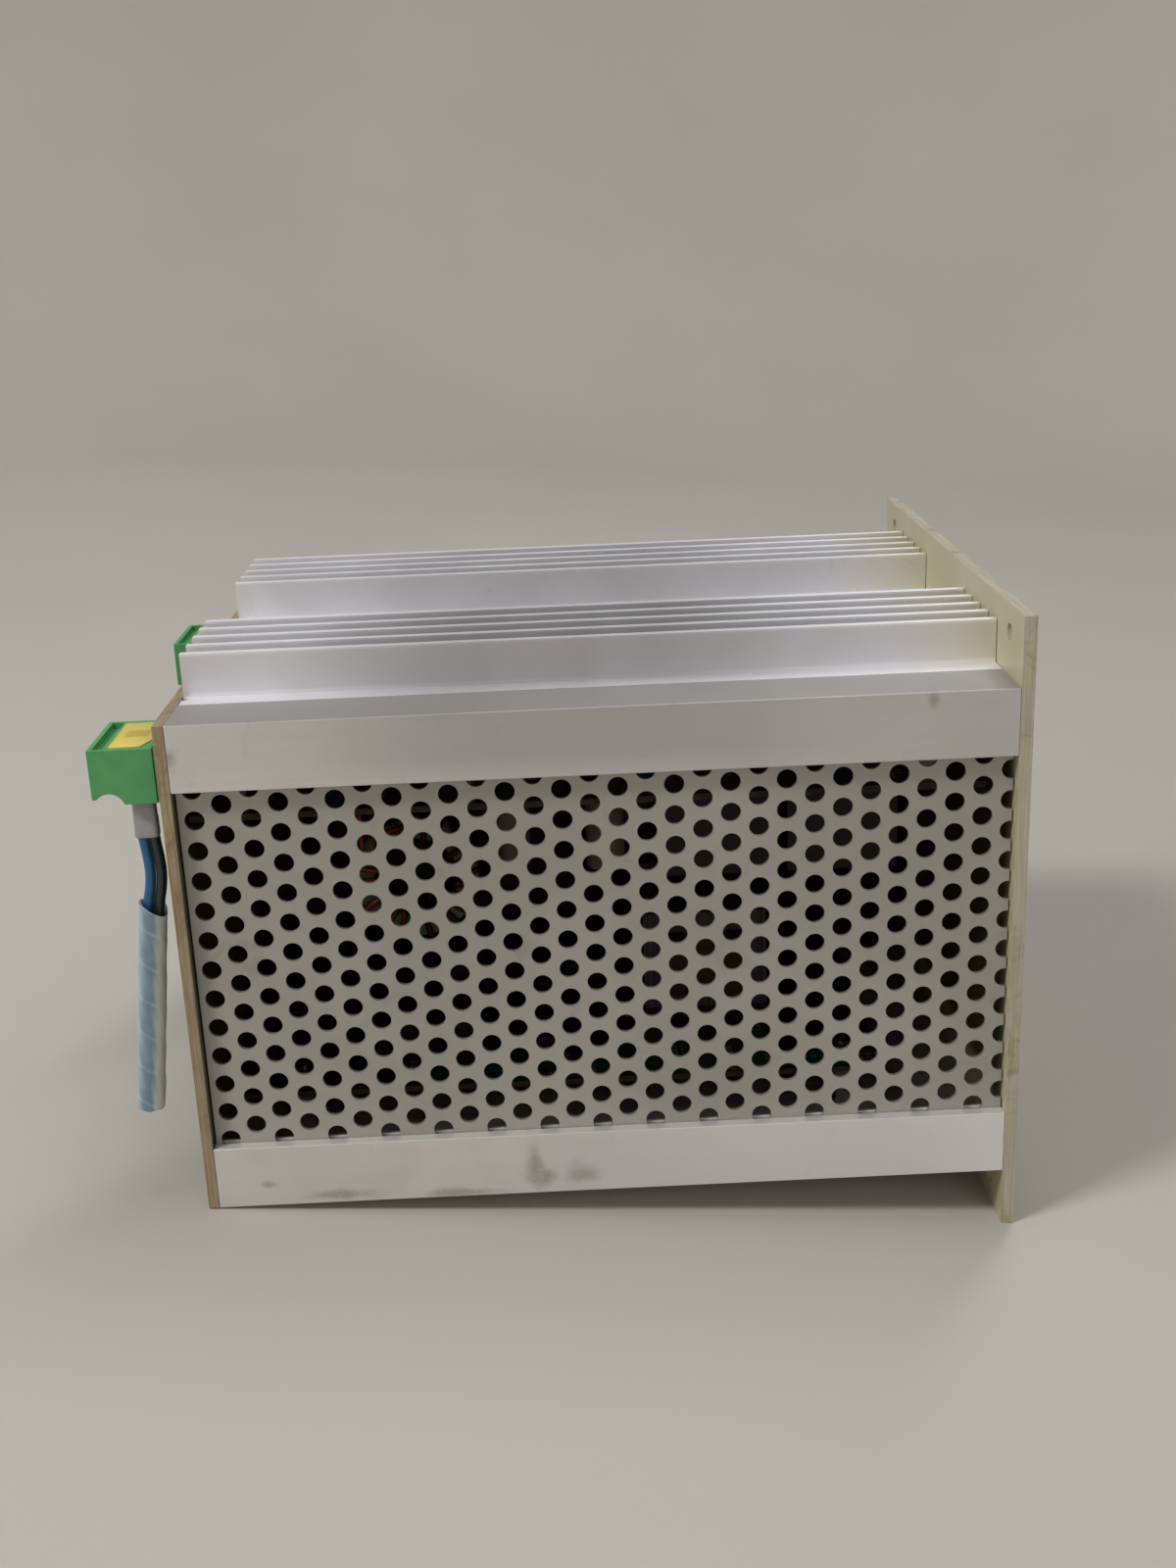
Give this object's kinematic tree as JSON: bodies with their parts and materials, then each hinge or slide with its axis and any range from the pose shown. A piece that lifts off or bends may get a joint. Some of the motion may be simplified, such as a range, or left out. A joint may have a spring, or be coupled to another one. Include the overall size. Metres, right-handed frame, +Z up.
{
  "type": "door drive power cassette",
  "caption": "Ventilated aluminium power cassette of a door drive: finned heat sinks, perforated sides, flanged mounting plate, pull-off green terminal blocks, short cable stub.",
  "frame": {"origin": "centre of the mounting plate's outer face, which is also the centre of its four corner holes", "axes": "+X points out of the mounting plate towards the wall it is fixed to, so the body and the terminal blocks lie along -X; +Z is up, with the heat sinks on top; the perforated sides face -Y (front) and +Y (back)"},
  "size_m": [0.2295, 0.175, 0.165],
  "materials": {
    "plate": "bare glass-epoxy laminate, satin",
    "board_edge": "3 mm circuit board laminate, tan edges, green lacquer on the faces",
    "rail": "plain extruded aluminium, satin, smudged",
    "grille": "zinc-plated perforated sheet, dull olive grey",
    "heat_sink": "bare extruded aluminium, silky",
    "cover": "plain sheet",
    "circuit_board": "green lacquered circuit board",
    "black_plastic": "moulded",
    "package": "moulded epoxy package",
    "pad": "silicone insulating pad",
    "steel": "zinc-plated screws and posts",
    "dark_steel": "blackened steel screws",
    "ferrite": "matt ferrite",
    "copper": "enamelled copper wire, red-brown",
    "can": "shrink-sleeved aluminium can",
    "small_can": "grey sleeved can",
    "relay": "moulded relay case",
    "tinned": "tinned metal",
    "fuse_glass": "glass tube fuse",
    "lamination": "varnished steel laminations",
    "coil_tape": "yellow tape over the winding",
    "chip": "moulded integrated circuits",
    "header_green": "green moulded, paler than the plug",
    "plug_green": "green moulded",
    "contact": "plated contacts",
    "label": "yellow marker strip",
    "label_pale": "plain pale grey marker card",
    "collar_grey": "grey moulded ferrule collar",
    "wire_blue": "dark blue insulation",
    "wire_dark": "near-black insulation",
    "sleeve": "pale blue translucent spiral sleeve"
  },
  "bodies": {
    "case": {"mounting_plate": "plate", "backplane_board": "board_edge", "rail_top_front": "rail", "rail_top_back": "rail", "rail_bottom_front": "rail", "rail_bottom_back": "rail", "grille_front": "grille", "grille_back": "grille", "heat_sink_front": "heat_sink", "heat_sink_back": "heat_sink", "centre_strip": "cover", "bottom_cover": "cover", "power_board": "circuit_board", "control_board": "circuit_board", "board_connectors": "black_plastic", "power_transistors": "package", "insulating_pads": "pad", "transistor_screws": "steel", "sink_screws": "dark_steel", "end_screws": "steel", "power_standoffs": "steel", "control_standoffs": "steel", "board_screws": "steel", "choke_core": "ferrite", "choke_winding": "copper", "dc_capacitors": "can", "small_capacitors": "small_can", "relays": "relay", "fuse_clips": "tinned", "fuse": "fuse_glass", "transformer_core": "lamination", "transformer_coil": "coil_tape", "control_chips": "chip", "header_1": "header_green", "header_2": "header_green", "header_pins": "contact"},
    "plug_1": {"plug_1_housing": "plug_green", "plug_1_contacts": "contact", "plug_1_label": "label", "ferrule_tube": "tinned", "ferrule_collar": "collar_grey", "wire_blue": "wire_blue", "wire_dark": "wire_dark", "cable_sleeve": "sleeve"},
    "plug_2": {"plug_2_housing": "plug_green", "plug_2_contacts": "contact", "plug_2_label": "label_pale"},
    "screw_1": {"clamp_screw_1": "steel"},
    "cage_1": {"clamp_cage_1": "tinned"},
    "screw_2": {"clamp_screw_2": "steel"},
    "cage_2": {"clamp_cage_2": "tinned"},
    "screw_3": {"clamp_screw_3": "steel"},
    "cage_3": {"clamp_cage_3": "tinned"},
    "screw_4": {"clamp_screw_4": "steel"},
    "cage_4": {"clamp_cage_4": "tinned"},
    "screw_5": {"clamp_screw_5": "steel"},
    "cage_5": {"clamp_cage_5": "tinned"},
    "screw_6": {"clamp_screw_6": "steel"},
    "cage_6": {"clamp_cage_6": "tinned"}
  },
  "joints": [
    {"name": "plug_1_pull", "type": "slide", "parent": "case", "child": "plug_1", "axis": [-1, 0, 0], "range_m": [0, 0.012]},
    {"name": "plug_2_pull", "type": "slide", "parent": "case", "child": "plug_2", "axis": [-1, 0, 0], "range_m": [0, 0.012]},
    {"name": "screw_1_turn", "type": "hinge", "parent": "plug_1", "child": "screw_1", "pos_m": [-0.2244, -0.07912, 0.0517], "axis": [1, 0, 0], "range_deg": [0, 960.01]},
    {"name": "cage_1_open", "type": "slide", "parent": "plug_1", "child": "cage_1", "axis": [1, 0, 0], "range_m": [0, 0.0012]},
    {"name": "screw_2_turn", "type": "hinge", "parent": "plug_1", "child": "screw_2", "pos_m": [-0.2244, -0.0715, 0.0517], "axis": [1, 0, 0], "range_deg": [0, 960.01]},
    {"name": "cage_2_open", "type": "slide", "parent": "plug_1", "child": "cage_2", "axis": [1, 0, 0], "range_m": [0, 0.0012]},
    {"name": "screw_3_turn", "type": "hinge", "parent": "plug_1", "child": "screw_3", "pos_m": [-0.2244, -0.06388, 0.0517], "axis": [1, 0, 0], "range_deg": [0, 960.01]},
    {"name": "cage_3_open", "type": "slide", "parent": "plug_1", "child": "cage_3", "axis": [1, 0, 0], "range_m": [0, 0.0012]},
    {"name": "screw_4_turn", "type": "hinge", "parent": "plug_2", "child": "screw_4", "pos_m": [-0.2244, 0.02888, 0.0517], "axis": [1, 0, 0], "range_deg": [0, 960.01]},
    {"name": "cage_4_open", "type": "slide", "parent": "plug_2", "child": "cage_4", "axis": [1, 0, 0], "range_m": [0, 0.0012]},
    {"name": "screw_5_turn", "type": "hinge", "parent": "plug_2", "child": "screw_5", "pos_m": [-0.2244, 0.0365, 0.0517], "axis": [1, 0, 0], "range_deg": [0, 960.01]},
    {"name": "cage_5_open", "type": "slide", "parent": "plug_2", "child": "cage_5", "axis": [1, 0, 0], "range_m": [0, 0.0012]},
    {"name": "screw_6_turn", "type": "hinge", "parent": "plug_2", "child": "screw_6", "pos_m": [-0.2244, 0.04412, 0.0517], "axis": [1, 0, 0], "range_deg": [0, 960.01]},
    {"name": "cage_6_open", "type": "slide", "parent": "plug_2", "child": "cage_6", "axis": [1, 0, 0], "range_m": [0, 0.0012]}
  ],
  "couplings": [
    {"joint": "screw_1_turn", "follows": "cage_1_open", "rad_per_m": 13963},
    {"joint": "screw_2_turn", "follows": "cage_2_open", "rad_per_m": 13963},
    {"joint": "screw_3_turn", "follows": "cage_3_open", "rad_per_m": 13963},
    {"joint": "screw_4_turn", "follows": "cage_4_open", "rad_per_m": 13963},
    {"joint": "screw_5_turn", "follows": "cage_5_open", "rad_per_m": 13963},
    {"joint": "screw_6_turn", "follows": "cage_6_open", "rad_per_m": 13963}
  ]
}
